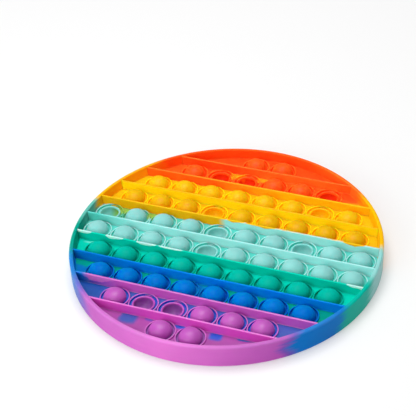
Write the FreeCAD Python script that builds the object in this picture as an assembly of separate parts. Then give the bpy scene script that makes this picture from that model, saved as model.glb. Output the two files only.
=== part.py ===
"""Round push-bubble fidget board, moulded in silicone as one piece.

Millimetres, +Z up. The origin is on the table under the middle of the board, and the rows of bubbles
run along X. Row 1 is the furthest towards +Y, and bubble 1 of a row is the furthest towards -X.
A web at half height carries the bubbles, with a rim round it and ribs between the rows on both faces.
"""
import FreeCAD
import Part
import math
import os

# The whole board
board_diameter = 200.0
board_height = 15.0

# Rim, a round wall drafted inside from foot to crest, with a soft outer edge and a crisper inner one
rim_foot_wall = 3.2
rim_crest_wall = 2.6
rim_outer_round = 1.1
rim_inner_round = 0.5

# Web, the flat sheet at half height
web_thickness = 2.0

# Ribs between the rows, drafted from foot to crest, crowned, and a little lower than the rim
rib_foot_width = 1.7
rib_crest_width = 1.2
rib_crown = 0.25
rib_below_rim = 0.3
rib_into_rim = 1.0

# Bubble that stands up, a thin shell: a crown arc and a shoulder arc over a short upright skirt
dome_base_radius = 7.15
dome_height = 6.4
dome_skirt = 0.4
dome_meeting_degrees = 48.7
dome_wall = 0.9

# Bubble that is pushed through: its wall folds out a little, over a lip, and hangs as a bowl
lip_spread = 0.1
lip_wall = 1.25
lip_height = 0.8
bowl_wall = 0.9

# Sound ring, a thin raised ring round each bubble, with a groove between the two
groove_width = 1.55
groove_depth = 0.5
ring_wall = 0.8
ring_height = 1.1
ring_edge = 0.2
ring_gap = 0.15

# Layout: the room that the last ring of a row leaves to the rim, and the bubbles pushed through by row
ring_to_rim = 0.3
pushed_through = {2: (2, 3, 6), 3: (7,), 4: (4,), 5: (1, 5, 8), 6: (5,), 9: (2, 3)}

# Sizes that follow from those above
board_radius = board_diameter / 2
rim_inner_radius = board_radius - rim_crest_wall
rim_foot_radius = board_radius - rim_foot_wall
web_top = (board_height + web_thickness) / 2
web_bottom = (board_height - web_thickness) / 2
groove_floor = web_top - groove_depth
ring_inner_radius = dome_base_radius + groove_width
ring_outer_radius = ring_inner_radius + ring_wall
seat_radius = ring_inner_radius + ring_wall / 2
pitch = 2 * ring_outer_radius + ring_gap
reach = rim_foot_radius - ring_outer_radius - ring_to_rim

# Points nearer to each other than this are one point
same_point = 1e-6


def round_off(across, up, radius, start, end):
    """Steps of an outline along an arc about (across, up), between two angles in degrees."""
    def point(degrees):
        angle = math.radians(degrees)
        return (across + radius * math.cos(angle), up + radius * math.sin(angle))
    return [point(start), (point((start + end) / 2), point(end))]


def outline(steps, place):
    """A closed face. A step is a point, for a straight edge, or a pair of points, for an arc."""
    edges = []
    here = steps[0]
    for step in steps[1:] + steps[:1]:
        is_arc = isinstance(step[0], tuple)
        end = step[1] if is_arc else step
        if is_arc:
            edges.append(Part.Arc(place(*here), place(*step[0]), place(*end)).toShape())
        elif math.dist(here, end) > same_point:
            edges.append(Part.makeLine(place(*here), place(*end)))
        here = end
    return Part.Face(Part.Wire(edges))


def turned(steps):
    """A section in X and Z, turned about the Z axis."""
    face = outline(steps, lambda across, up: FreeCAD.Vector(across, 0, up))
    return face.revolve(FreeCAD.Vector(0, 0, 0), FreeCAD.Vector(0, 0, 1), 360)


def row_places():
    """Y of each row, from the far side to the near one."""
    count = 1 + math.floor(2 * reach / pitch)
    return [pitch * ((count - 1) / 2 - row) for row in range(count)]


def bubble_places(y):
    """X of each bubble that fits in the row at y."""
    count = 1 + math.floor(2 * math.sqrt(reach ** 2 - y ** 2) / pitch)
    return [pitch * (bubble - (count - 1) / 2) for bubble in range(count)]


def rim_and_web():
    inner, outer = rim_inner_radius, board_radius
    soft, crisp = rim_outer_round, rim_inner_round
    return turned([
        (0, web_bottom),
        (rim_foot_radius, web_bottom),
        *round_off(inner + crisp, crisp, crisp, 180, 270),
        *round_off(outer - soft, soft, soft, -90, 0),
        *round_off(outer - soft, board_height - soft, soft, 0, 90),
        *round_off(inner + crisp, board_height - crisp, crisp, 90, 180),
        (rim_foot_radius, web_top),
        (0, web_top),
    ])


def rib(y):
    """A rib on both faces of the web, with its ends in the rim."""
    end_radius = rim_inner_radius + rib_into_rim
    low, high = rib_below_rim, board_height - rib_below_rim
    foot, crest = rib_foot_width / 2, rib_crest_width / 2
    section = outline([
        (y - foot, web_bottom),
        (y - crest, low + rib_crown),
        ((y, low), (y + crest, low + rib_crown)),
        (y + foot, web_bottom),
        (y + foot, web_top),
        (y + crest, high - rib_crown),
        ((y, high), (y - crest, high - rib_crown)),
        (y - foot, web_top),
    ], lambda along, up: FreeCAD.Vector(-end_radius, along, up))
    bar = section.extrude(FreeCAD.Vector(2 * end_radius, 0, 0))
    return bar.common(Part.makeCylinder(end_radius, board_height))


def seat_and_ring():
    """Outline steps from the groove floor over the sound ring and down the seat in the web."""
    crest = web_top + ring_height
    return [
        (ring_inner_radius, groove_floor),
        (ring_inner_radius, crest - ring_edge),
        (ring_inner_radius + ring_edge, crest),
        (ring_outer_radius - ring_edge, crest),
        (ring_outer_radius, crest - ring_edge),
        (ring_outer_radius, web_top),
        (seat_radius, web_top),
        (seat_radius, web_bottom),
    ]


def bubble_up():
    """A bubble that stands up, with its groove and sound ring. The hollow follows the outside, a wall in."""
    meeting = dome_meeting_degrees
    cosine, sine = math.cos(math.radians(meeting)), math.sin(math.radians(meeting))
    # The arcs share a tangent at the meeting, so this is how far apart their centres are
    apart = (dome_base_radius - dome_height + dome_skirt) / (cosine + sine - 1)
    shoulder_across = apart * cosine
    shoulder = dome_base_radius - shoulder_across
    crown = shoulder + apart
    crown_up = web_top + dome_height - crown
    shoulder_up = web_top + dome_skirt
    return turned([
        *round_off(0, crown_up, crown, 90, meeting),
        *round_off(shoulder_across, shoulder_up, shoulder, meeting, 0),
        (dome_base_radius, groove_floor),
        *seat_and_ring(),
        (dome_base_radius - dome_wall, web_bottom),
        *round_off(shoulder_across, shoulder_up, shoulder - dome_wall, 0, meeting),
        *round_off(0, crown_up, crown - dome_wall, meeting, 90),
    ])


def bubble_through():
    """A bubble pushed through: the wall folds over at a lip and hangs below the web as a bowl."""
    lip_round = lip_wall / 2
    lip_up = web_top + lip_height - lip_round
    bowl = dome_base_radius + lip_spread - lip_wall
    belly = bowl + bowl_wall
    belly_angle = math.degrees(math.asin((web_bottom - lip_up) / belly))
    return turned([
        *round_off(0, lip_up, bowl, -90, 0),
        *round_off(bowl + lip_round, lip_up, lip_round, 180, 0),
        (dome_base_radius, groove_floor),
        *seat_and_ring(),
        *round_off(0, lip_up, belly, belly_angle, -90),
    ])


def bubble_board():
    """The moulding: rim and web, with a seat cut for each bubble, its ribs and its bubbles."""
    up, through = bubble_up(), bubble_through()
    seat = Part.makeCylinder(seat_radius, board_height)
    rows = row_places()
    seats, pieces = [], []
    for row, y in enumerate(rows, 1):
        for number, x in enumerate(bubble_places(y), 1):
            place = FreeCAD.Vector(x, y, 0)
            shape = through if number in pushed_through.get(row, ()) else up
            pieces.append(shape.translated(place))
            seats.append(seat.translated(place))
    ribs = [rib((far + near) / 2) for far, near in zip(rows, rows[1:])]
    moulding = rim_and_web().cut(seats).fuse(ribs + pieces).removeSplitter()
    print(len(pieces), "bubbles in", len(rows), "rows,", len(ribs), "ribs")
    return moulding


os.makedirs("parts", exist_ok=True)
board = bubble_board()
print("solids", len(board.Solids), "valid", board.isValid(), "faces", len(board.Faces))
print("volume cm3", round(board.Volume / 1000, 1), "box", board.BoundBox)
board.exportStep("parts/bubble_board.step")
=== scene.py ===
# %% [markdown]
# # A round push-bubble board in silicone
# The real thing is one moulding: a rim, a thin web at half height, ribs between the rows, and bubbles
# that stand up from the web or are pushed through it. Several colours of silicone are laid in the mould
# side by side, so the colours run into each other at soft, uneven borders.
# Everything below is built round the frame, a plain model of the same moulding at its true size, so the
# first step is to load it and to note its box.

import math
import random

import bpy
import numpy as np
from mathutils import Matrix, Vector, geometry, noise


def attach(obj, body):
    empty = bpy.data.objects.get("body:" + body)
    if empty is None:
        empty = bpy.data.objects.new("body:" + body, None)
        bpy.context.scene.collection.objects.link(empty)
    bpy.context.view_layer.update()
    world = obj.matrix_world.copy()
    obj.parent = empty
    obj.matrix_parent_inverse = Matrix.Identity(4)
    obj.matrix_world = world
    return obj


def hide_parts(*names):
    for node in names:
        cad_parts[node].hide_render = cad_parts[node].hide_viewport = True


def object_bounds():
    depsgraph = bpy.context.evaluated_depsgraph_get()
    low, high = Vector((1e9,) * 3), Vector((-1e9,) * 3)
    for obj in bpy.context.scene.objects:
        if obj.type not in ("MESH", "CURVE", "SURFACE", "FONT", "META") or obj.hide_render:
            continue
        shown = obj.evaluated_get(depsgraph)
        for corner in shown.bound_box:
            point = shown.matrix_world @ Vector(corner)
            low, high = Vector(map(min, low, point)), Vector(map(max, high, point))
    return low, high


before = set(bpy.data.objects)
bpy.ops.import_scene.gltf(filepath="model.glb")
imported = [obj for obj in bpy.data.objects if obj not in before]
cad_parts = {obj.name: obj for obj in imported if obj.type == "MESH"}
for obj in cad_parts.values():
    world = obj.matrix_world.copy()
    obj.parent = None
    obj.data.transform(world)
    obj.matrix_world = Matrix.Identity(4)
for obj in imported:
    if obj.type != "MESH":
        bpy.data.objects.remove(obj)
frame_low, frame_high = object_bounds()
print("frame box, mm", [round(v * 1000, 2) for v in (*frame_low, *frame_high)])

# %% [markdown]
# ## The sizes
# A moulding is easy to follow when its drawing has few sizes and the rest follows from them. Lengths
# are in millimetres here, as on a maker's drawing, and are turned into metres only when a mesh is made.
# The width and height come from the frame, so the pieces can't grow out of it.

# %% Sizes of the moulding, in millimetres
metre = 1000.0
board_radius = (frame_high.x - frame_low.x) / 2 * metre
board_height = frame_high.z * metre
web_thickness = 2.0
web_top = (board_height + web_thickness) / 2
web_bottom = (board_height - web_thickness) / 2

dome_base_radius = 7.15
dome_height = 6.4
dome_skirt = 0.4
dome_meeting_degrees = 48.7
dome_wall = 0.9

groove_width = 1.55
groove_depth = 0.5
ring_wall = 0.8
ring_height = 1.1
ring_gap = 0.15
groove_floor = web_top - groove_depth
ring_inner_radius = dome_base_radius + groove_width
ring_outer_radius = ring_inner_radius + ring_wall
pitch = 2 * ring_outer_radius + ring_gap
print("board", round(board_radius, 2), "by", round(board_height, 2), "pitch", pitch)

# %% [markdown]
# ## Where the bubbles go
# The rows are one pitch apart, and each row holds as many bubbles as fit inside the rim, centred on the
# row. A few bubbles are pushed through, and a small table names them by row and number.

# %% Places of the rows, ribs and bubbles
row_count = 10
reach = 87.0
pushed_through = {2: (2, 3, 6), 3: (7,), 4: (4,), 5: (1, 5, 8), 6: (5,), 9: (2, 3)}

row_places = [pitch * ((row_count - 1) / 2 - row) for row in range(row_count)]
rib_places = [(far + near) / 2 for far, near in zip(row_places, row_places[1:])]


def bubble_places(y):
    """X of each bubble that fits in the row at y."""
    count = 1 + math.floor(2 * math.sqrt(reach ** 2 - y ** 2) / pitch)
    return [pitch * (bubble - (count - 1) / 2) for bubble in range(count)]


print("bubbles by row", [len(bubble_places(y)) for y in row_places])

# %% [markdown]
# ## A shell that collects points
# Each piece is a closed skin. The skin is easiest to write ring by ring: a ring of points is added, and
# then joined to the ring before it. Each point also keeps a zone, three numbers that say how far it
# belongs to the dome, the sound ring and the groove. The finish reads them later to colour each part.
# The hollow of a bubble is both dome and groove, which gives it a colour of its own; where that colour
# is darker than the bubble, it is painted shade inside the bubble.

# %% Shell helper
FLOOR, DOME, RING, GROOVE, HOLLOW = (0, 0, 0), (1, 0, 0), (0, 1, 0), (0, 0, 1), (1, 0, 1)


class Shell:
    """Points, zones and faces of one closed piece."""

    def __init__(self):
        self.points = []
        self.zones = []
        self.faces = []

    def add(self, points, zone=FLOOR):
        """Adds points and returns their numbers."""
        first = len(self.points)
        self.points.extend(points)
        self.zones.extend([zone] * len(points))
        return list(range(first, len(self.points)))

    def join(self, outer, inner):
        """Faces between two rings of points that run the same way."""
        for here in range(len(outer)):
            after = (here + 1) % len(outer)
            self.faces.append((outer[here], outer[after], inner[after], inner[here]))

    def cap(self, ring, tip):
        """Triangles from a ring to one point."""
        for here, after in zip(ring, ring[1:] + ring[:1]):
            self.faces.append((here, after, tip))


def arc(across, up, radius, start, end, steps):
    """Points along an arc about (across, up), between two angles in degrees."""
    angles = np.radians(np.linspace(start, end, steps + 1))
    return [(across + radius * math.cos(angle), up + radius * math.sin(angle)) for angle in angles]


# %% [markdown]
# ## From a shell to an object
# In Blender an object shows a mesh, and the mesh holds the points and faces. The points are scaled to
# metres here, and the zones go along as an attribute, where the finish can read them. The shading is
# smooth except where two faces meet at a sharp angle.

# %% Turn a shell into an object
sharp_above = math.radians(38)


def make_piece(name, shell):
    """A smooth-shaded object from a shell, in metres, riding on the board's one body."""
    mesh = bpy.data.meshes.new(name)
    mesh.from_pydata([Vector(point) / metre for point in shell.points], [], shell.faces)
    zones = mesh.attributes.new("zone", "FLOAT_VECTOR", "POINT")
    zones.data.foreach_set("vector", np.array(shell.zones, dtype=np.float32).ravel())
    mesh.shade_smooth()
    mesh.set_sharp_from_angle(angle=sharp_above)
    piece = bpy.data.objects.new(name, mesh)
    bpy.context.scene.collection.objects.link(piece)
    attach(piece, "root")
    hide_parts("bubble_board")
    print(name, len(mesh.vertices), "points,", len(mesh.polygons), "faces")
    return piece


# %% [markdown]
# ## The section of a bubble that stands up
# A bubble is turned like a pot: a path in height and distance from the axis, swept round a full circle.
# The path starts at the foot of the sound ring, goes over its rounded crest, along the groove and up the
# bubble. A crown arc and a tighter shoulder arc give the full, slightly flat top that a hemisphere lacks.

# %% Sizes of the section
ring_draft = 0.08
ring_round = 0.28
ring_shoulder = 1.6 * ring_round
groove_fillet = 0.35
mouth_round = 0.5

cosine, sine = math.cos(math.radians(dome_meeting_degrees)), math.sin(math.radians(dome_meeting_degrees))
apart = (dome_base_radius - dome_height + dome_skirt) / (cosine + sine - 1)
shoulder_across = apart * cosine
shoulder = dome_base_radius - shoulder_across
crown = shoulder + apart
crown_up = web_top + dome_height - crown
shoulder_up = web_top + dome_skirt

# %% Zones along a path
def zoned(points, zone):
    """The same zone for every point of a path."""
    return [(across, up, zone) for across, up in points]


# %% Over the sound ring and along the groove
def ring_and_groove():
    """Over the sound ring, from its foot on the web to the foot of the bubble."""
    crest = web_top + ring_height
    outer = ring_outer_radius - ring_draft - ring_round
    inner = ring_inner_radius + ring_round
    over = arc(outer, crest - ring_round, ring_round, 0, 90, 4)
    over += arc(inner, crest - ring_round, ring_round, 90, 180, 4)
    up = groove_floor + groove_fillet
    floor = [(ring_inner_radius, crest - ring_shoulder)]
    floor += arc(ring_inner_radius - groove_fillet, up, groove_fillet, 0, -90, 3)
    floor += arc(dome_base_radius + groove_fillet, up, groove_fillet, -90, -180, 3)
    start = [(ring_outer_radius, web_top, FLOOR)]
    return start + zoned(over, RING) + zoned(floor, GROOVE)


# %% A bubble that stands up
def standing_top():
    """From the foot of the sound ring to the pole of a bubble that stands up."""
    side = arc(shoulder_across, shoulder_up, shoulder, 0, dome_meeting_degrees, 8)
    top = arc(0, crown_up, crown, dome_meeting_degrees, 90, 7)
    return ring_and_groove() + zoned(side + top[1:], DOME)


def standing_underside():
    """From the mouth of the hollow up to its pole, one wall inside the bubble."""
    across = dome_base_radius - dome_wall + mouth_round
    mouth = arc(across, web_bottom + mouth_round, mouth_round, -90, -180, 3)
    side = arc(shoulder_across, shoulder_up, shoulder - dome_wall, 0, dome_meeting_degrees, 6)
    top = arc(0, crown_up, crown - dome_wall, dome_meeting_degrees, 90, 5)
    return zoned(mouth[:1], FLOOR) + zoned(mouth[1:], DOME) + zoned(side + top[1:], HOLLOW)


print("crown radius", round(crown, 2), "shoulder radius", round(shoulder, 2))

# %% [markdown]
# ## The section of a bubble that is pushed through
# Pushing a bubble turns it inside out. Its wall folds over at a round lip, and the dome hangs below the
# web as a bowl. The same turning method serves, with a half-round for the lip and two round bowls.

# %% Sections of a bubble that is pushed through
lip_spread = 0.1
lip_wall = 1.25
lip_height = 0.8
bowl_wall = 0.9
belly_fillet = 0.4

lip_round = lip_wall / 2
lip_up = web_top + lip_height - lip_round
bowl = dome_base_radius + lip_spread - lip_wall
belly = bowl + bowl_wall


def pushed_top():
    """From the foot of the sound ring over the lip and down to the bottom of the bowl."""
    lip = arc(bowl + lip_round, lip_up, lip_round, 0, 180, 8)
    inside = arc(0, lip_up, bowl, 0, -90, 12)
    return ring_and_groove() + zoned(lip, DOME) + zoned(inside[1:], HOLLOW)


def pushed_underside():
    """From the web's underside round the hanging belly to its lowest point."""
    drop = lip_up - web_bottom + belly_fillet
    across = math.sqrt((belly + belly_fillet) ** 2 - drop ** 2)
    turn = math.degrees(math.atan2(drop, across))
    foot = arc(across, web_bottom - belly_fillet, belly_fillet, 90, 180 - turn, 4)
    hang = arc(0, lip_up, belly, -turn, -90, 12)
    return zoned(foot[:1], FLOOR) + zoned(foot[1:] + hang[1:], DOME)


print("bowl radius", round(bowl, 2), "belly radius", round(belly, 2))

# %% [markdown]
# ## Each bubble is a little different
# Soft silicone never pops back to quite the same shape. Each bubble gets a small lean, a slightly lower
# crown and a faint unevenness, all from seeded numbers, and all fading to nothing at its foot so that
# the groove stays round. The shift grows with the square of the distance from the web.

# %% Turned sections, with a small sway for each bubble
turns = 64
on_axis = 1e-6
dent_depth = 0.12
dent_scale = 0.22
round_angles = [2 * math.pi * turn / turns for turn in range(turns)]


def sway(point, centre, lean, sink, seed):
    """A point of a bubble, moved by the bubble's lean and sink and by a faint unevenness."""
    x, y, z = point
    share = (z - web_top) / dome_height
    weight = share * share
    dent = dent_depth * noise.noise(Vector((x - centre[0], y - centre[1], seed)) * dent_scale)
    fall = weight * math.copysign(1, share)
    return (x + lean[0] * weight, y + lean[1] * weight, z - (sink + abs(dent)) * fall)


def turn_section(shell, hole, section, centre, upward, habit):
    """Sweeps a section from a hole in the web to its pole, round a bubble's centre."""
    before = hole
    for across, up, zone in section[1:]:
        spots = 1 if across < on_axis else turns
        ring = [(centre[0] + across * math.cos(angle), centre[1] + across * math.sin(angle), up)
                for angle in round_angles[:spots]]
        if zone in (DOME, HOLLOW):
            ring = [sway(point, centre, *habit) for point in ring]
        here = shell.add(ring, zone)
        outer, inner = (before, here) if upward else (before[::-1], here[::-1])
        if spots == 1:
            shell.cap(outer, here[0])
        else:
            shell.join(outer, inner)
        before = here


# %% [markdown]
# ## The web, cut into one strip for each row
# The web could be one big sheet, but a strip for each row lets each row have its own colours. The strips
# meet under the ribs, and their ends reach into the rim wall, so no seam shows. A strip's top and bottom
# are flat sheets with round holes where the bubbles join on. Blender's triangulation fills such a sheet
# from its outline and holes, and the triangles inside the holes are then left out.

# %% Strips of the web
strip_inset = 1.7
strip_end_radius = board_radius - strip_inset
step = 5.0
fewest_end_points = 8
same_place = 1e-4
weld = 1e-7


def between(start, end):
    """Points on the way from start to end, without the two ends."""
    pieces = max(1, round(math.dist(start, end) / step))
    return [tuple(np.array(start) + (np.array(end) - start) * share / pieces) for share in range(1, pieces)]


def strip_outline(near, far):
    """Points round a strip, counter-clockwise, with round ends."""
    first = math.asin(max(near / strip_end_radius, -1))
    last = math.asin(min(far / strip_end_radius, 1))
    points = max(fewest_end_points, round((last - first) * strip_end_radius / step))
    angles = np.linspace(first, last, points)
    right = [(strip_end_radius * math.cos(angle), strip_end_radius * math.sin(angle)) for angle in angles]
    left = [(-x, y) for x, y in right[::-1]]
    loop = right + between(right[-1], left[0]) + left + between(left[-1], right[0])
    return [point for point, after in zip(loop, loop[1:] + loop[:1]) if math.dist(point, after) > same_place]


# %% A flat sheet with round holes
def sheet_with_holes(shell, outline, height, centres, radii, upward):
    """A flat sheet with a round hole at each centre. Returns the outline's and the holes' points."""
    flat = list(outline)
    loops = [list(range(len(outline)))]
    for (x, y), radius in zip(centres, radii):
        loops.append(list(range(len(flat), len(flat) + turns)))
        flat += [(x + radius * math.cos(angle), y + radius * math.sin(angle)) for angle in round_angles]
    edges = [pair for loop in loops for pair in zip(loop, loop[1:] + loop[:1])]
    found = geometry.delaunay_2d_cdt([Vector(point) for point in flat], edges, [], 0, weld)
    numbers = shell.add([(x, y, height) for x, y in flat])
    first_of = [numbers[sources[0]] for sources in found[3]]
    inside = math.cos(math.pi / turns)
    for corners in found[2]:
        middle = sum((found[0][corner] for corner in corners), Vector((0, 0))) / 3
        if any((middle - Vector(centre)).length < radius * inside for centre, radius in zip(centres, radii)):
            continue
        face = tuple(first_of[corner] for corner in corners)
        shell.faces.append(face if upward else face[::-1])
    return [[numbers[spot] for spot in loop] for loop in loops]


# %% [markdown]
# ## One row at a time
# A row is one closed skin: the strip's top and underside with a hole for each bubble, the edge between
# them, and for each bubble one section turned from the hole above and one from the hole beneath. The
# leans and dips come from a random generator with a fixed seed, so the board is the same in every run.

# %% The habit of each bubble
seeds = random.Random(7)
least_lean, most_lean = 0.05, 0.3
most_sink = 0.18


def habit_of_bubble(row, number):
    """A bubble's lean, sink and seed."""
    direction = seeds.uniform(0, 2 * math.pi)
    lean = seeds.uniform(least_lean, most_lean)
    lean_xy = (lean * math.cos(direction), lean * math.sin(direction))
    return lean_xy, seeds.uniform(0.0, most_sink), 7.3 * row + 3.1 * number


# %% The rows
def build_row(row):
    """The whole row as one piece, with its share of the web."""
    y = row_places[row - 1]
    far = rib_places[row - 2] if row > 1 else board_radius
    near = rib_places[row - 1] if row < row_count else -board_radius
    outline = strip_outline(near, far)
    centres = [(x, y) for x in bubble_places(y)]
    pushed = [number in pushed_through.get(row, ()) for number in range(1, len(centres) + 1)]
    tops = [pushed_top() if through else standing_top() for through in pushed]
    undersides = [pushed_underside() if through else standing_underside() for through in pushed]
    shell = Shell()
    rim_top, *top_holes = sheet_with_holes(
        shell, outline, web_top, centres, [section[0][0] for section in tops], True)
    rim_low, *low_holes = sheet_with_holes(
        shell, outline, web_bottom, centres, [section[0][0] for section in undersides], False)
    shell.join(rim_low, rim_top)
    for number, centre in enumerate(centres):
        habit = habit_of_bubble(row, number)
        turn_section(shell, top_holes[number], tops[number], centre, True, habit)
        turn_section(shell, low_holes[number], undersides[number], centre, False, habit)
    return make_piece(f"row_{row}", shell)


rows = [build_row(row) for row in range(1, row_count + 1)]

# %% [markdown]
# ## The ribs
# A rib is a straight bar with the same section all along, like a moulding run along a wall: narrow at
# its crest, a little wider at its foot, and spread by a fillet where it meets the web. One closed bar
# serves both faces of the board. The points that the section leaves in the web are just under its skin,
# so the fillet seems to grow out of it. A slow, seeded wave keeps the crests from looking machined.

# %% Section of a rib
# The foot and the crest are half widths
rib_foot = 0.85
rib_crest = 0.6
rib_below_rim = 0.3
rib_crest_up = board_height - rib_below_rim
rib_round = 0.3
rib_edge_degrees = 75
foot_fillet = 0.45
under_skin = 0.02
rib_station = 2.5
rib_wave, rib_wave_scale = 0.22, 0.03
rib_dip, rib_dip_scale = 0.12, 0.05


def rib_side():
    """One side of the upper half of the section, from the toe of the fillet to the middle of the crest."""
    toe = rib_foot + foot_fillet
    fillet = arc(toe, web_top + foot_fillet, foot_fillet, -90, -180, 4)
    edge = arc(rib_crest - rib_round, rib_crest_up - rib_round, rib_round, 0, rib_edge_degrees, 4)
    return [(toe, web_top - under_skin)] + fillet + edge + [(0, rib_crest_up)]


def rib_outline():
    """The whole section: up one side and down the other, then the same on the underside."""
    right_up = rib_side()
    left_up = [(-across, up) for across, up in right_up[-2::-1]]
    left_down = [(across, board_height - up) for across, up in left_up[::-1]]
    right_down = [(-across, up) for across, up in left_down[-2::-1]]
    return right_up + left_up + left_down + right_down


# %% Ribs
def build_rib(number):
    """One rib, from rim to rim."""
    y = rib_places[number - 1]
    middle = board_height / 2
    end = math.sqrt(strip_end_radius ** 2 - y ** 2)
    stations = np.linspace(-end, end, round(2 * end / rib_station))
    section = rib_outline()
    shell = Shell()
    before = None
    for x in stations:
        calm = 1 - (x / end) ** 4
        wave = rib_wave * calm * noise.noise(Vector((x * rib_wave_scale, number * 5.7, 0)))
        dip = rib_dip * abs(noise.noise(Vector((x * rib_dip_scale, number * 3.3, 9))))
        ring = []
        for across, up in section:
            share = abs(up - middle) / middle
            sink = dip * share * math.copysign(1, up - middle)
            ring.append((x, y + across + wave * share, up - sink))
        here = shell.add(ring)
        if before is None:
            shell.cap(here[::-1], shell.add([(x, y, middle)])[0])
        else:
            shell.join(before, here)
        before = here
    shell.cap(before, shell.add([(stations[-1], y, middle)])[0])
    return make_piece(f"rib_{number}", shell)


ribs = [build_rib(number) for number in range(1, row_count)]

# %% [markdown]
# ## The rim
# The rim is turned, like a hoop: one closed section swept round the middle of the board. Its outer edges
# are soft, its inner wall leans out towards the crest so that the board leaves its mould, and a fillet
# carries it into the web on both faces.

# %% Section of the rim
rim_turns = 288
rim_crest_wall = 2.6
rim_foot_wall = 3.2
rim_outer_round = 1.1
rim_inner_round = 0.5
rim_fillet = 0.7


def rim_section():
    """The whole section, from the middle of the outer wall over the crest to the lower face and back."""
    inner = board_radius - rim_crest_wall + rim_inner_round
    outer = board_radius - rim_outer_round
    foot = board_radius - rim_foot_wall
    crest = arc(outer, board_height - rim_outer_round, rim_outer_round, 0, 90, 7)
    crest += arc(inner, board_height - rim_inner_round, rim_inner_round, 90, 180, 4)
    fillet = arc(foot - rim_fillet, web_top + rim_fillet, rim_fillet, 0, -90, 5)
    upper = crest + fillet + [(foot - rim_fillet, web_top - under_skin)]
    lower = [(across, board_height - up) for across, up in upper[::-1]]
    return upper + lower + [(board_radius, board_height / 2)]


# %% Rim
def build_rim():
    """The rim as one closed hoop."""
    shell = Shell()
    section = rim_section()
    angles = [2 * math.pi * turn / rim_turns for turn in range(rim_turns)]
    hoops = [shell.add([(across * math.cos(angle), across * math.sin(angle), up) for angle in angles])
             for across, up in section]
    for here, after in zip(hoops, hoops[1:] + hoops[:1]):
        shell.join(here, after)
    return make_piece("rim", shell)


rim = build_rim()

# %% [markdown]
# ## Small helpers for the finishes
# A procedural finish is a graph of nodes. Writing the graph in code is shorter with one helper that
# makes a node, fills in plain values and links the rest. Colours are kept as they are seen on a screen
# and turned into the linear values that the shader works with.

# %% Node helpers
def add_node(tree, kind, inputs=None, **settings):
    """A new node. An input may be a plain value or the output of another node."""
    node = tree.nodes.new(kind)
    for key, value in settings.items():
        setattr(node, key, value)
    for key, value in (inputs or {}).items():
        if isinstance(value, bpy.types.NodeSocket):
            tree.links.new(value, node.inputs[key])
        else:
            node.inputs[key].default_value = value
    return node


def maths(tree, operation, *values):
    """Arithmetic on plain numbers."""
    return add_node(tree, "ShaderNodeMath", dict(enumerate(values)), operation=operation).outputs[0]


def vectors(tree, operation, *values):
    """Arithmetic on places, which have an X, a Y and a Z."""
    return add_node(tree, "ShaderNodeVectorMath", dict(enumerate(values)), operation=operation).outputs[0]


def x_y_z(tree, vector):
    """The three numbers of a place, by the names X, Y and Z."""
    return add_node(tree, "ShaderNodeSeparateXYZ", {0: vector}).outputs


# %% Noises and steps
def clouds(tree, place, scale, detail):
    """A noise from 0 to 1. The smaller the scale, the wider the clouds."""
    inputs = {"Vector": place, "Scale": scale, "Detail": detail}
    return add_node(tree, "ShaderNodeTexNoise", inputs).outputs["Fac"]


def spread(tree, value, low, high):
    """A value from 0 to 1, moved to between low and high."""
    return add_node(tree, "ShaderNodeMapRange", {"Value": value, "To Min": low, "To Max": high}).outputs[0]


def stepped(tree, value, low, high):
    """0 at low, 1 at high, and a soft step between them. Low may be the larger of the two."""
    inputs = {"Value": value, "From Min": low, "From Max": high}
    return add_node(tree, "ShaderNodeMapRange", inputs, interpolation_type="SMOOTHSTEP").outputs[0]


# %% Colour helpers
def linear(code):
    """The shader's colour for a colour code such as #FF5A24."""
    shares = [int(code[place:place + 2], 16) / 255 for place in (1, 3, 5)]
    channels = [share / 12.92 if share < 0.04045 else ((share + 0.055) / 1.055) ** 2.4 for share in shares]
    return (*channels, 1.0)


def mixed(tree, share, under, over):
    """Colour over on top of colour under, by a share from 0 to 1."""
    node = add_node(tree, "ShaderNodeMix", data_type="RGBA")
    sockets = {"Factor_Float": share, "A_Color": under, "B_Color": over}
    for socket in node.inputs:
        value = sockets.get(socket.identifier)
        if isinstance(value, bpy.types.NodeSocket):
            tree.links.new(value, socket)
        elif value is not None:
            socket.default_value = value
    return node.outputs[2]


def grey(share):
    """A number kept as a shade of grey, so that a ramp can carry it."""
    return (share, share, share, 1.0)


def colour_ramp(tree, value, low, high, stops):
    """Colours along a value that runs from low to high. A stop is a value and a colour."""
    inputs = {"Value": value, "From Min": low, "From Max": high}
    share = add_node(tree, "ShaderNodeMapRange", inputs).outputs[0]
    node = add_node(tree, "ShaderNodeValToRGB", {"Fac": share})
    marks = node.color_ramp.elements
    marks.remove(marks[1])
    marks[0].position = (stops[0][0] - low) / (high - low)
    marks[0].color = stops[0][1]
    for place, colour in stops[1:]:
        marks.new((place - low) / (high - low)).color = colour
    return node.outputs["Color"]


# %% [markdown]
# ## Where a point lies
# Every colour below depends on where a point lies on the board. Object coordinates do this well: they
# stay with the board, they need no unwrapping, and scaled to millimetres they match the drawing. A noise
# pushes the places about by a millimetre or two, so that no border between colours is straight.

# %% Places for the finishes
wander_scale = 0.09


def places(tree, blur):
    """Coordinates in millimetres, plain and pushed about by up to about blur."""
    raw = add_node(tree, "ShaderNodeTexCoord").outputs["Object"]
    plain = vectors(tree, "MULTIPLY", raw, (metre,) * 3)
    wander = add_node(tree, "ShaderNodeTexNoise", {"Vector": plain, "Scale": wander_scale, "Detail": 3.0})
    centred = vectors(tree, "SUBTRACT", wander.outputs["Color"], (0.5,) * 3)
    push = vectors(tree, "MULTIPLY", centred, (4 * blur,) * 3)
    return plain, vectors(tree, "ADD", plain, push)
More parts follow.
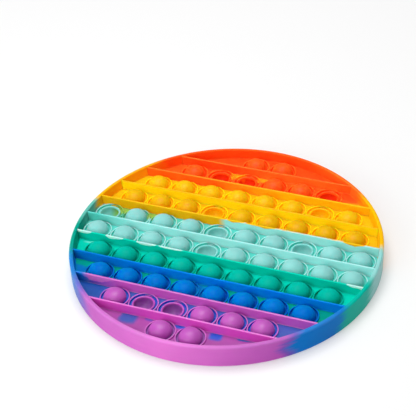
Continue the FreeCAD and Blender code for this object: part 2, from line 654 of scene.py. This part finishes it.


# %% [markdown]
# ## The silicone
# Silicone of this kind is satin: it has a broad, weak highlight, and a little light goes in and comes
# out again nearby, which softens the shade in the grooves. Light of the silicone's own colour goes in
# deepest. The warm bubbles stay bright even in the shade. What keeps them so isn't known, and a faint
# glow in their own colour, which is painted light, stands in for it. Pigment never mixes quite evenly,
# so a slow noise shifts the colour, and a fine grain breaks up the highlight.

# %% The silicone finish
border_blur = 1.2
lightness_range = (0.9, 1.1)
roughness_range = (0.3, 0.46)
grain_strength, grain_height = 0.12, 0.00006
silicone_ior = 1.41
cloud_scale, grain_scale, smear_scale = 0.05, 2.6, 0.25


def silicone(name, colour_of, gloss, depths, glow=(0, 0, 0, 1)):
    """A satin silicone. depths says how many millimetres deep red, green and blue light go in."""
    material = bpy.data.materials.new(name)
    material.use_nodes = True
    tree = material.node_tree
    tree.nodes.clear()
    plain, pushed = places(tree, border_blur)
    colour = colour_of(tree, plain, pushed)
    lightness = spread(tree, clouds(tree, plain, cloud_scale, 4.0), *lightness_range)
    colour = add_node(tree, "ShaderNodeHueSaturation", {"Color": colour, "Value": lightness}).outputs[0]
    grain = clouds(tree, plain, grain_scale, 3.0)
    rough = spread(tree, clouds(tree, plain, smear_scale, 3.0), *roughness_range)
    bump = add_node(tree, "ShaderNodeBump", {
        "Height": grain, "Strength": grain_strength, "Distance": grain_height}).outputs[0]
    shader = add_node(tree, "ShaderNodeBsdfPrincipled", {
        "Base Color": colour, "Roughness": rough, "Normal": bump,
        "IOR": silicone_ior, "Specular IOR Level": gloss,
        "Subsurface Weight": 1.0, "Subsurface Radius": depths, "Subsurface Scale": 1 / metre,
        # The emission is a painted glow, used on the warm rows only
        "Emission Color": glow, "Emission Strength": 1.0,
    })
    output = add_node(tree, "ShaderNodeOutputMaterial")
    tree.links.new(shader.outputs[0], output.inputs["Surface"])
    return material


# %% [markdown]
# ## The silicones in the mould
# A maker mixes a few silicones and uses them again and again. So the colours are a short list of names,
# set beside the photograph, and the rows, the ribs and the rim only use the names.

# %% The silicones in the mould
scarlet, vermilion, orange, tangerine = "#DC2004", "#F84C10", "#FF5C14", "#FF7420"
amber, mustard, yellow, lemon = "#FFA414", "#E8B004", "#FFBA08", "#FFE00C"
# The pale mint of the rim's painted highlight is in this list too, though no silicone has it
leaf, sage, highlight_mint, white_mint = "#94BC54", "#60BC9C", "#C0FFFF", "#BCECE4"
pale_mint, mint, sea_mint, sea_glass = "#ACE8E4", "#90D0CC", "#60D0C4", "#64BCB0"
jade, green, deep_green = "#00CCB4", "#00B4A0", "#009C88"
sky, blue, lagoon, deep_blue = "#0088E0", "#0078CC", "#0874BC", "#0854AC"
royal, indigo, violet = "#2058C8", "#3C5CB4", "#7C58BC"
petal, orchid, lilac, heather = "#E078D0", "#DC54C8", "#D074C8", "#CC60C4"
purple, mauve, plum = "#C05CBC", "#B04CA8", "#9850A8"

# %% [markdown]
# ## The colours of the rows
# Each row has five colours: for its bubbles, its sound rings, its grooves, its floor and the hollows of
# its bubbles. The rings are partly their own silicone and partly a painted highlight on the thin ridge,
# the grooves partly their own and partly painted shade in the narrow recess, and a hollow that is darker
# than its bubble is painted shade inside it. On this board the floor is often the next colour's silicone
# showing through, as in the blue row that stands on green. Spots of a neighbour's colour have run into
# some floors, and each is a soft blot with a place and a size.

# %% Row colours and blots
# Bubbles, sound rings (partly painted highlight), grooves (partly painted shade), floor, hollows (painted
# shade where darker)
row_colours = {
    1: (orange, tangerine, vermilion, vermilion, scarlet),
    2: (orange, tangerine, vermilion, orange, scarlet),
    3: (yellow, lemon, yellow, yellow, yellow),
    4: (mustard, lemon, yellow, yellow, yellow),
    5: (mint, pale_mint, sea_mint, sea_mint, mint),
    6: (mint, pale_mint, sea_mint, sea_mint, mint),
    7: (green, green, deep_green, jade, deep_green),
    8: (blue, blue, deep_blue, deep_green, deep_blue),
    9: (purple, lilac, royal, indigo, plum),
    10: (purple, lilac, plum, mauve, plum),
}

# The middle of a blot, half its width and depth in millimetres, and its colour
row_blots = {
    2: [((-18, 73), (5, 3), amber), ((1, 73.5), (5, 3), amber), ((62, 74), (10, 5), vermilion),
        ((70, 61), (9, 5), amber)],
    5: [((-77, 9), (10, 9), sage), ((-77, 17), (9, 5), leaf), ((-56, 15), (5, 4), leaf),
        ((-51, 19), (4, 3), leaf), ((86, 22), (4, 2), leaf)],
    7: [((-84, -22), (5, 1), sea_mint)],
    8: [((-84, -50), (9, 5), lagoon), ((-5, -48), (7, 9), lagoon), ((30, -48), (4, 9), lagoon)],
    9: [((-70, -62), (13, 8), deep_blue)],
    10: [((-33, -80), (5, 5.5), indigo), ((-20, -77.5), (2.5, 3), violet), ((0, -77), (3, 3), royal),
         ((23, -80), (4, 4), royal), ((42, -77.5), (6.5, 1.6), indigo)],
}
print("rows with blots", sorted(row_blots))

# %% Blots
blot_edge, blot_core = 1.7, 0.4


def blotted(tree, colour, pushed, blots):
    """The colour with soft, squarish blots of other colours on it."""
    for (x, y), (width, depth), code in blots:
        away = vectors(tree, "SUBTRACT", pushed, (x, y, web_top))
        shrunk = vectors(tree, "MULTIPLY", away, (1 / width, 1 / depth, 0))
        squares = vectors(tree, "MULTIPLY", shrunk, shrunk)
        length = add_node(tree, "ShaderNodeVectorMath", {0: squares}, operation="LENGTH").outputs["Value"]
        colour = mixed(tree, stepped(tree, length, blot_edge, blot_core), colour, linear(code))
    return colour


# %% [markdown]
# ## How each row takes the light
# The rows don't shine alike. The green and blue ones are nearly matt and the purple ones have a clearer
# highlight. Light goes deeper into the warm and pale silicones than into the dark ones. The faint painted
# glow of the warm rows, which keeps their shaded sides bright, is set here as well.

# %% Gloss, depth and painted glow
usual_gloss = 0.15
row_gloss = {7: 0.04, 8: 0.04, 9: 0.55, 10: 0.55}
usual_depth, dark_depth, least_depth = 3.6, 2.4, 0.5
first_dark_row = 7
# The glow is painted light that keeps the warm rows' shaded sides bright
warm_painted_glow = {1: 0.12, 2: 0.12, 3: 0.06, 4: 0.03}


def light_habit(row):
    """A row's gloss, how many millimetres deep red, green and blue light go into it, and its painted glow.
    """
    own = linear(row_colours[row][0])
    deepest = dark_depth if row >= first_dark_row else usual_depth
    depths = tuple(max(least_depth, deepest * share) for share in own[:3])
    glow = tuple(warm_painted_glow.get(row, 0) * share for share in own[:3])
    return row_gloss.get(row, usual_gloss), depths, (*glow, 1)


# %% Finish the rows
def finish_row(row):
    """The silicone of one row."""
    dome, ring, groove, floor, hollow = (linear(code) for code in row_colours[row])

    def colour_of(tree, plain, pushed):
        shares = x_y_z(tree, add_node(tree, "ShaderNodeAttribute", attribute_name="zone").outputs["Vector"])
        inside = stepped(tree, maths(tree, "MULTIPLY", shares["X"], shares["Z"]), 0.5, 1.0)
        # The ring colour is partly a painted highlight, the groove colour partly painted shade, and the
        # hollow colour painted shade inside the bubble
        colour = mixed(tree, shares["Z"], floor, groove)
        colour = mixed(tree, shares["Y"], colour, ring)
        colour = mixed(tree, inside, colour, hollow)
        colour = blotted(tree, colour, pushed, row_blots.get(row, ()))
        outside = maths(tree, "SUBTRACT", shares["X"], inside)
        return mixed(tree, outside, colour, dome)

    return silicone(f"silicone_row_{row}", colour_of, *light_habit(row))


for number, row in enumerate(rows, 1):
    row.data.materials.append(finish_row(number))
print("row finishes", len(rows))

# %% [markdown]
# ## The colours of the ribs
# Most ribs have the colour of the row in front of them. Along some of them the colour changes, and on
# others the row behind has run over the crest and a little way down the face. On several ribs the crest
# is also paler than the face, and that paleness is a painted highlight along the rounded crest. So a rib
# has one ramp of colours along its face, one along its crest, and a third that says how far down the
# crest's colour comes at each place.

# %% Rib colours
# Colours along a face, as a place on X and a colour
rib_faces = {
    1: [(-20, vermilion), (5, tangerine), (40, tangerine), (65, orange)],
    2: [(-30, orange), (0, amber), (20, yellow)],
    3: [(0, lemon)],
    4: [(-12, yellow), (-6, pale_mint)],
    5: [(-90, sea_mint), (-65, pale_mint)],
    6: [(0, jade)],
    7: [(-90, blue), (-40, sky)],
    8: [(-74, blue), (-66, violet), (-46, heather)],
    9: [(0, orchid)],
}
# Colours along a crest: partly the row behind's silicone, partly a painted highlight where paler than the
# face
rib_crests_and_highlights = {
    1: [(0, tangerine)],
    2: [(-60, tangerine), (0, amber), (60, yellow)],
    3: [(0, yellow)],
    4: [(0, yellow)],
    6: [(0, white_mint)],
    8: [(-74, sky), (-69, lilac)],
    9: [(0, petal)],
}

# How far below the crest its colour comes, in millimetres, as a place on X and a depth
crest_depths = {
    4: [(-12, 1.0), (-6, 0.2), (-1, 1.5), (6, 0.2), (20, 1.6), (27, 0.2), (72, 0.2), (79, 2.0), (86, 0.2)],
    6: [(-95, 1.8), (-88, 1.4), (-85, 0.0), (-75, 0.0), (-72, 2.0), (-66, 1.6), (-63, 0.0), (-54, 0.0),
        (-51, 1.4), (-44, 1.2), (-40, 0.0), (-34, 0.9), (-26, 0.9), (-20, 0.0), (84, 0.0), (89, 1.5)],
    8: [(-77, 0.4), (-73, 2.6), (-66, 4.0), (-60, 4.0), (-50, 0.6)],
}
# On the other ribs the crest colour, a painted highlight where it is paler than the face, comes this far
# down
usual_crest_depth = 0.6
deepest_crest = 4.0
print("ribs with a ragged crest", sorted(crest_depths))

# %% Finish the ribs
crest_noise_scale = 0.16
crest_edge = (0.05, 0.3)


def finish_rib(number):
    """The silicone of one rib, which takes the light as the row in front of it does."""
    faces = [(place, linear(code)) for place, code in rib_faces[number]]
    crests = [(place, linear(code)) for place, code in rib_crests_and_highlights.get(number, rib_faces[number])]
    depths = [(place, grey(depth / deepest_crest))
              for place, depth in crest_depths.get(number, [(0, usual_crest_depth)])]

    def colour_of(tree, plain, pushed):
        along = x_y_z(tree, pushed)["X"]
        up = x_y_z(tree, plain)["Z"]
        wander = clouds(tree, plain, crest_noise_scale, 4.0)
        face, crest, depth = (colour_ramp(tree, along, -board_radius, board_radius, stops)
                              for stops in (faces, crests, depths))
        depth = maths(tree, "MULTIPLY", depth, deepest_crest)
        ragged = maths(tree, "MULTIPLY", depth, maths(tree, "MULTIPLY_ADD", wander, 1.6, 0.2))
        above = maths(tree, "ADD", maths(tree, "SUBTRACT", up, rib_crest_up), ragged)
        return mixed(tree, stepped(tree, above, *crest_edge), face, crest)

    return silicone(f"silicone_rib_{number}", colour_of, *light_habit(number + 1))


for number, rib in enumerate(ribs, 1):
    rib.data.materials.append(finish_rib(number))
print("rib finishes", len(ribs))

# %% [markdown]
# ## The colours of the rim
# Round the rim the colours follow each other like the hours on a clock, so the ramp runs along the angle
# about the middle of the board. The borders lean: at half height the blue runs on under the purple on
# both sides, and on the left the purple creeps back along the foot. A noise along the rim adds the
# uneven, feathered look of colours that met while they were soft. A faint pale band painted near the top
# of the near side is a painted highlight on the rounded outer edge of the crest.

# %% Rim colours
rim_colours = [
    (-180, sea_glass), (-172, deep_green), (-158, deep_green), (-152, blue), (-143, blue), (-134, violet),
    (-128, purple), (-90, petal), (-49, purple), (-45, violet), (-41, blue), (-26, blue), (-22, green),
    (-9, green), (-4, mint), (11, mint), (15, yellow), (38, yellow), (43, amber), (47, tangerine),
    (60, tangerine), (75, orange), (135, orange), (143, amber), (172, yellow), (175, sea_glass),
]

# How many degrees a border moves from the crest to the foot, and how many more it bulges at half height
foot_shift = [(-170, 3.5), (-146, 5.0), (-137, 0.0), (-128, -1.0), (-110, 0.0), (-60, 1.8), (0, 2.8)]
half_way_bulge = [(-145, 0.0), (-130, -3.5), (-110, 0.0), (-60, 3.6), (-42, 3.6), (-30, 1.3), (0, 0.0)]
most_degrees = 10.0
print("rim colours", len(rim_colours))

# %% Finish the rim
rim_gloss = 0.08
rim_depths = (2.0, 2.0, 2.0)
streak_degrees = 5.0
streak_scale = (0.03, 0.03, 0.6)

# A painted highlight on the near crest's rounded edge: from where to where on Y, from what height to what
# height, and how much
near_side = (-30.0, -60.0)
highlight_height = (13.2, 14.4)
highlight_share = 0.05


def by_angle(tree, turn, degrees):
    """A number of degrees that changes round the rim."""
    stops = [(place, grey((value / most_degrees + 1) / 2)) for place, value in degrees]
    share = colour_ramp(tree, turn, -180, 180, stops)
    return maths(tree, "MULTIPLY", maths(tree, "MULTIPLY_ADD", share, 2.0, -1.0), most_degrees)


def rim_colour(tree, plain, pushed):
    """Colours round the rim, with leaning, streaky borders and a painted highlight near the top of the near
    side.
    """
    spots = x_y_z(tree, pushed)
    up = x_y_z(tree, plain)["Z"]
    turn = maths(tree, "MULTIPLY", maths(tree, "ARCTAN2", spots["Y"], spots["X"]), 180 / math.pi)
    height = maths(tree, "DIVIDE", up, board_height)
    drop = maths(tree, "SUBTRACT", 1.0, height)
    middle = maths(tree, "MULTIPLY", maths(tree, "MULTIPLY", height, drop), 4.0)
    shift = maths(tree, "MULTIPLY", drop, by_angle(tree, turn, foot_shift))
    bulge = maths(tree, "MULTIPLY", middle, by_angle(tree, turn, half_way_bulge))
    streaks = clouds(tree, vectors(tree, "MULTIPLY", plain, streak_scale), 1.0, 3.0)
    streak = maths(tree, "MULTIPLY_ADD", streaks, 2 * streak_degrees, -streak_degrees)
    angle = maths(tree, "ADD", maths(tree, "ADD", turn, streak), maths(tree, "ADD", shift, bulge))
    stops = [(place, linear(code)) for place, code in rim_colours]
    near = stepped(tree, spots["Y"], *near_side)
    # Painted highlight: near the top of the near side the colour is mixed a little towards pale mint
    crest_highlight = maths(tree, "MULTIPLY", stepped(tree, up, *highlight_height), near)
    crest_highlight = maths(tree, "MULTIPLY", crest_highlight, highlight_share)
    return mixed(tree, crest_highlight, colour_ramp(tree, angle, -180, 180, stops), linear(highlight_mint))


rim.data.materials.append(silicone("silicone_rim", rim_colour, rim_gloss, rim_depths))
print("rim finish", rim.data.materials[0].name)

# %% [markdown]
# ## The floor
# The board lies on a plain pale surface that is nearly white. Part of that brightness is a glow of the
# surface itself. A shadow doesn't darken a glow, so the board's shadow stays faint, as it is on a table
# in a bright studio.

# %% Floor
floor_half = 3.0
floor_corners = [(-floor_half, -floor_half, 0), (floor_half, -floor_half, 0),
                 (floor_half, floor_half, 0), (-floor_half, floor_half, 0)]
floor_finish = {
    "Base Color": (0.6, 0.6, 0.6, 1), "Roughness": 0.9, "Specular IOR Level": 0.1,
    "Emission Color": (1, 1, 1, 1), "Emission Strength": 0.33,
}


def build_floor():
    """A wide pale surface under the board."""
    mesh = bpy.data.meshes.new("floor")
    mesh.from_pydata(floor_corners, [], [(0, 1, 2, 3)])
    floor = bpy.data.objects.new("floor", mesh)
    bpy.context.scene.collection.objects.link(floor)
    material = bpy.data.materials.new("pale_floor")
    material.use_nodes = True
    shader = material.node_tree.nodes["Principled BSDF"]
    for socket, value in floor_finish.items():
        shader.inputs[socket].default_value = value
    mesh.materials.append(material)
    print("floor", 2 * floor_half, "m square")


build_floor()

# %% [markdown]
# ## The light
# A wide soft light almost overhead gives the round highlights and the faint shadow on the right. Two
# weaker ones in front light the outside of the rim and the near faces of the ribs, and a faint one lifts
# the left side. A pale world fills what they leave dark.

# %% Lights
world_strength = 0.2


def add_light(name, place, size, power):
    """A square soft light that faces the middle of the board. Place and size are in metres."""
    lamp = bpy.data.lights.new(name, "AREA")
    lamp.size = size
    lamp.energy = power
    light = bpy.data.objects.new(name, lamp)
    light.location = place
    light.rotation_euler = (-Vector(place)).to_track_quat("-Z", "Y").to_euler()
    bpy.context.scene.collection.objects.link(light)
    print(name, power, "W")


add_light("overhead", (-0.15, 0.2, 1.25), 0.8, 12.6)
add_light("top_front", (-0.2, -0.9, 1.0), 0.8, 4.3)
add_light("front", (-0.35, -1.2, 0.5), 0.5, 4.8)
add_light("left", (-1.0, -0.5, 0.5), 0.6, 1.2)
world = bpy.data.worlds.new("studio")
world.use_nodes = True
backdrop = world.node_tree.nodes["Background"]
backdrop.inputs["Color"].default_value = (1, 1, 1, 1)
backdrop.inputs["Strength"].default_value = world_strength
bpy.context.scene.world = world
bpy.context.scene.view_settings.view_transform = "Standard"

# %% [markdown]
# ## The camera
# The camera stands in front and a little to the right of the board and looks down at it with a long
# lens, so the far side is only slightly smaller than the near one. It is rolled a few degrees, as the
# photograph is.

# %% Camera
camera_place = Vector((239.1, -579.0, 522.5)) / metre
aim = Vector((-25.9, 35.2, 7.5)) / metre
roll = math.radians(-3.9)

lens = bpy.data.cameras.new("camera")
lens.lens = 109.6
lens.sensor_width = 36.0
camera = bpy.data.objects.new("camera", lens)
turned = (aim - camera_place).to_track_quat("-Z", "Y").to_matrix().to_4x4() @ Matrix.Rotation(roll, 4, "Z")
camera.matrix_world = Matrix.Translation(camera_place) @ turned
bpy.context.scene.collection.objects.link(camera)
bpy.context.scene.camera = camera
print("camera", [round(v, 3) for v in camera_place], "lens", lens.lens)
